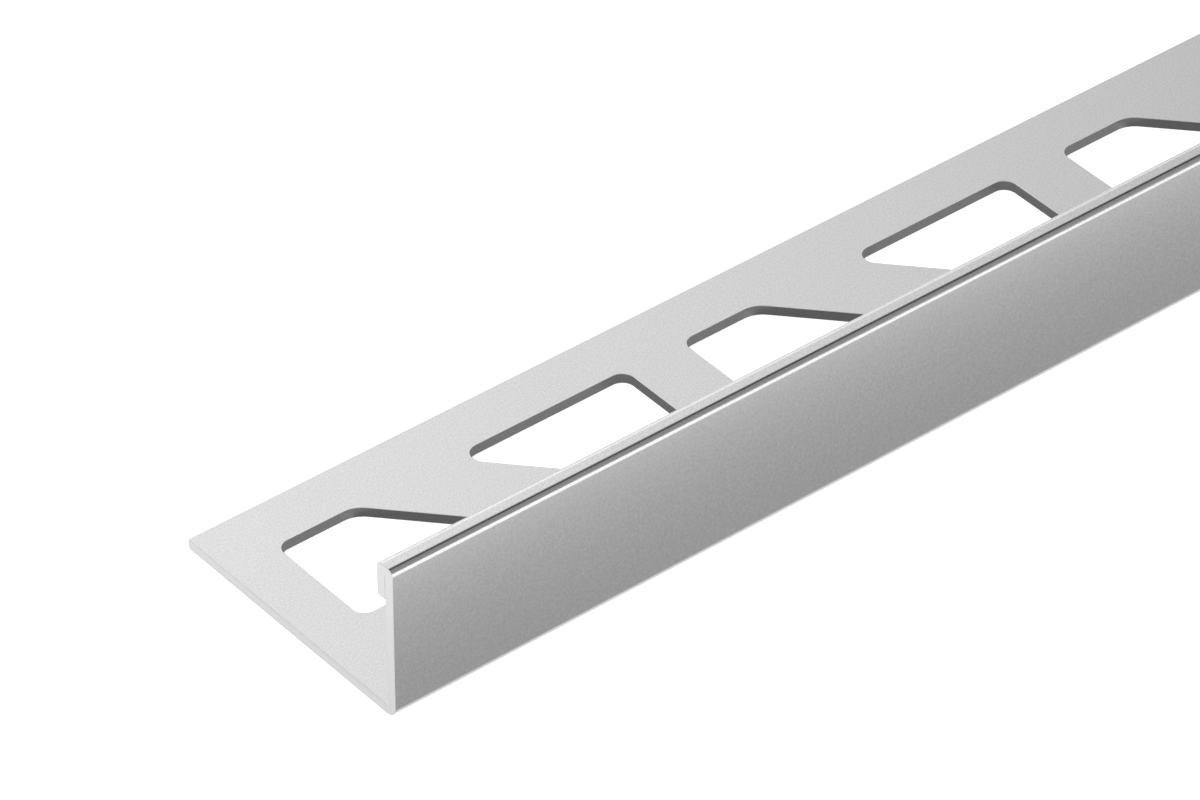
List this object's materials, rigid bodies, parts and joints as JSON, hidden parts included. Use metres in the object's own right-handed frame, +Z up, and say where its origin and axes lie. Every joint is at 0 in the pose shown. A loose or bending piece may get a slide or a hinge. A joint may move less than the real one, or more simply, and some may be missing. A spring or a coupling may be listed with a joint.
{
  "type": "tile edge trim",
  "caption": "L-section edge trim of satin stainless sheet with a folded hem and a leg pierced by pairs of slant-sided openings",
  "frame": {"origin": "under the middle of the strip, on the underside of the leg and midway between the wall's outer face and the leg's free edge", "axes": "+X along the strip, +Y from the wall to the free edge of the leg, +Z up from the leg's underside to the hem"},
  "size_m": [1, 0.027, 0.015],
  "materials": {
    "satin_steel": "satin stainless, neutral grey, with a fine even grain that has no direction"
  },
  "bodies": {
    "root": {"trim_profile": "satin_steel"}
  },
  "joints": []
}
